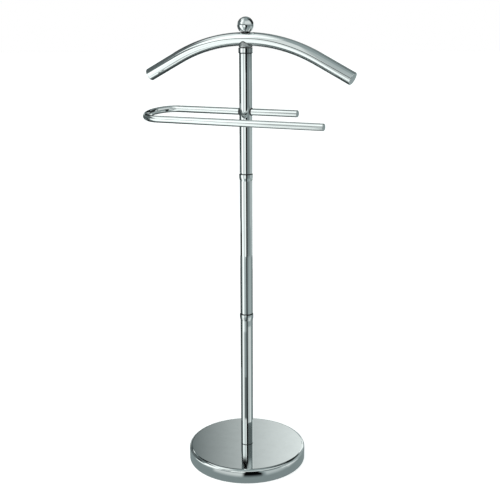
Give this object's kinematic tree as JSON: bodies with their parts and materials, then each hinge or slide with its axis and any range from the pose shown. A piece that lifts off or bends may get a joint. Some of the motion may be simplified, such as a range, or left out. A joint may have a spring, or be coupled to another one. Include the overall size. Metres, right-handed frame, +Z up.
{
  "type": "valet stand",
  "caption": "Free-standing chromed valet stand with a weighted round base, a jointed tube post, a curved swivelling shoulder bar under a ball finial, and a sliding hairpin trouser bar.",
  "frame": {"origin": "on the floor under the post's axis", "axes": "+X along the shoulder bar towards the open end of the hairpin trouser bar, -Y to the front, +Z up"},
  "size_m": [0.4476, 0.2454, 0.9122],
  "materials": {
    "chrome_base": "mirror polished",
    "chrome_tube": "mirror polished",
    "chrome_turned": "mirror polished",
    "chrome_bar": "mirror polished",
    "chrome_rail": "mirror polished",
    "chrome_ball": "mirror polished",
    "zinc_fastener": "zinc plated",
    "zinc_insert": "turned, zinc plated",
    "iron": "cast, painted",
    "black_plastic": "moulded, fine texture",
    "rubber": "matt",
    "nylon": "satin"
  },
  "bodies": {
    "stand": {"base_cover": "chrome_base", "base_weight": "iron", "base_underplate": "black_plastic", "underplate_screws": "zinc_fastener", "base_feet": "rubber", "base_bolt": "zinc_fastener", "base_washer": "zinc_fastener", "base_lock_washer": "zinc_fastener", "post_foot_insert": "zinc_insert", "lower_post_tube": "chrome_tube", "lower_joint_socket": "zinc_insert", "lower_joint_stud": "zinc_fastener", "lower_joint_plug": "zinc_insert", "lower_joint_collar": "chrome_turned", "middle_post_tube": "chrome_tube", "upper_joint_socket": "zinc_insert", "upper_joint_stud": "zinc_fastener", "upper_joint_plug": "zinc_insert", "upper_joint_collar": "chrome_turned", "upper_post_tube": "chrome_tube", "top_insert": "zinc_insert", "top_collar": "chrome_turned", "bar_block": "zinc_insert", "finial_stud": "zinc_fastener"},
    "clamp_sleeve": {"bar_sleeve": "nylon"},
    "trouser_rail": {"trouser_bar": "chrome_rail", "trouser_back_cap": "chrome_rail", "trouser_front_cap": "chrome_rail"},
    "shoulder_bar": {"hanger_bar": "chrome_bar", "hanger_left_cap": "chrome_bar", "hanger_right_cap": "chrome_bar", "hanger_saddle": "chrome_turned"},
    "finial_seat": {"finial_washer": "rubber"},
    "finial": {"finial_ball": "chrome_ball"},
    "clamp_screw": {"set_screw": "zinc_fastener"}
  },
  "joints": [
    {"name": "shoulder_bar_swivel", "type": "hinge", "parent": "stand", "child": "shoulder_bar", "pos_m": [0, 0, 0.871], "axis": [0, 0, 1], "continuous": true},
    {"name": "trouser_bar_tilt", "type": "hinge", "parent": "stand", "child": "clamp_sleeve", "pos_m": [0, 0, 0.7337], "axis": [1, 0, 0], "range_deg": [-80, 65]},
    {"name": "trouser_bar_slide", "type": "slide", "parent": "clamp_sleeve", "child": "trouser_rail", "axis": [1, 0, 0], "range_m": [-0.09, 0.13]},
    {"name": "finial_turn", "type": "hinge", "parent": "finial_seat", "child": "finial", "pos_m": [0, 0, 0.8962], "axis": [0, 0, 1], "range_deg": [0, 2880]},
    {"name": "finial_lift", "type": "slide", "parent": "stand", "child": "finial_seat", "axis": [0, 0, 1], "range_m": [0, 0.0101]},
    {"name": "clamp_screw_turn", "type": "hinge", "parent": "stand", "child": "clamp_screw", "pos_m": [0, 0.01, 0.7337], "axis": [0, 1, 0], "range_deg": [-180, 360]}
  ],
  "couplings": [
    {"joint": "finial_lift", "follows": "finial_turn", "m_per_rad": 0.00019894}
  ]
}
